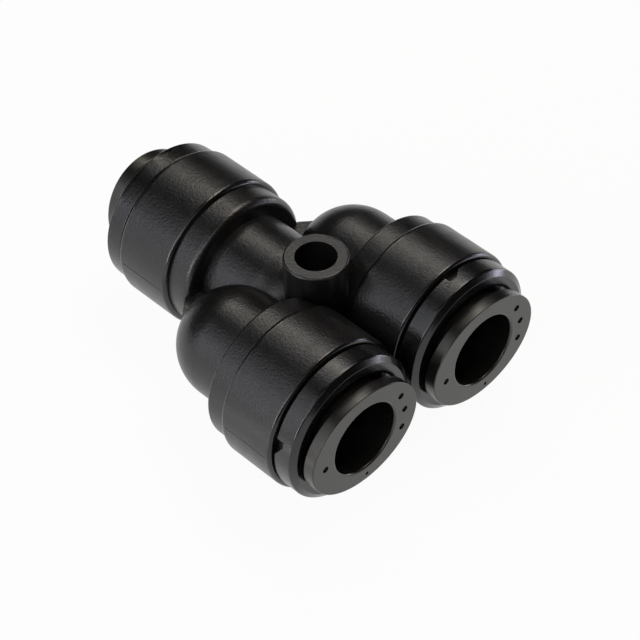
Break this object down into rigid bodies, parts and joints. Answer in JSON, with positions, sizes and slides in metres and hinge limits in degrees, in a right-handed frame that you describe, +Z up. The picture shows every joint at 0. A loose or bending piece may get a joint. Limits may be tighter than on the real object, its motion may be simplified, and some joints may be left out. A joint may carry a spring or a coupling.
{
  "type": "push-fit two-way tube divider",
  "caption": "Black moulded push-fit divider: one inlet and two parallel outlets for plastic tube, each with a push-in collet, round a boss with a mounting hole.",
  "frame": {"origin": "on the axis of the mounting hole, at half the height of the body", "axes": "+X from the inlet to the outlets, +Y across the outlets, +Z up along the mounting hole"},
  "size_m": [0.0506, 0.042, 0.0216],
  "materials": {
    "body": "fine spark-eroded grain",
    "bush": "satin",
    "collet": "smooth satin",
    "seal": "greased",
    "teeth": "stamped stainless"
  },
  "bodies": {
    "fitting": {"body": "body", "inlet_bush": "bush", "inlet_o_ring": "seal", "left_bush": "bush", "left_o_ring": "seal", "right_bush": "bush", "right_o_ring": "seal"},
    "inlet_grip": {"inlet_collet": "collet", "inlet_tooth_1": "teeth", "inlet_tooth_2": "teeth", "inlet_tooth_3": "teeth", "inlet_tooth_4": "teeth"},
    "left_grip": {"left_collet": "collet", "left_tooth_1": "teeth", "left_tooth_2": "teeth", "left_tooth_3": "teeth", "left_tooth_4": "teeth"},
    "right_grip": {"right_collet": "collet", "right_tooth_1": "teeth", "right_tooth_2": "teeth", "right_tooth_3": "teeth", "right_tooth_4": "teeth"}
  },
  "joints": [
    {"name": "inlet_collet_slide", "type": "slide", "parent": "fitting", "child": "inlet_grip", "axis": [1, 0, 0], "range_m": [-0.00063, 0.00047]},
    {"name": "left_collet_slide", "type": "slide", "parent": "fitting", "child": "left_grip", "axis": [-1, 0, 0], "range_m": [-0.00055, 0.00055]},
    {"name": "right_collet_slide", "type": "slide", "parent": "fitting", "child": "right_grip", "axis": [-1, 0, 0], "range_m": [-0.00055, 0.00055]}
  ]
}
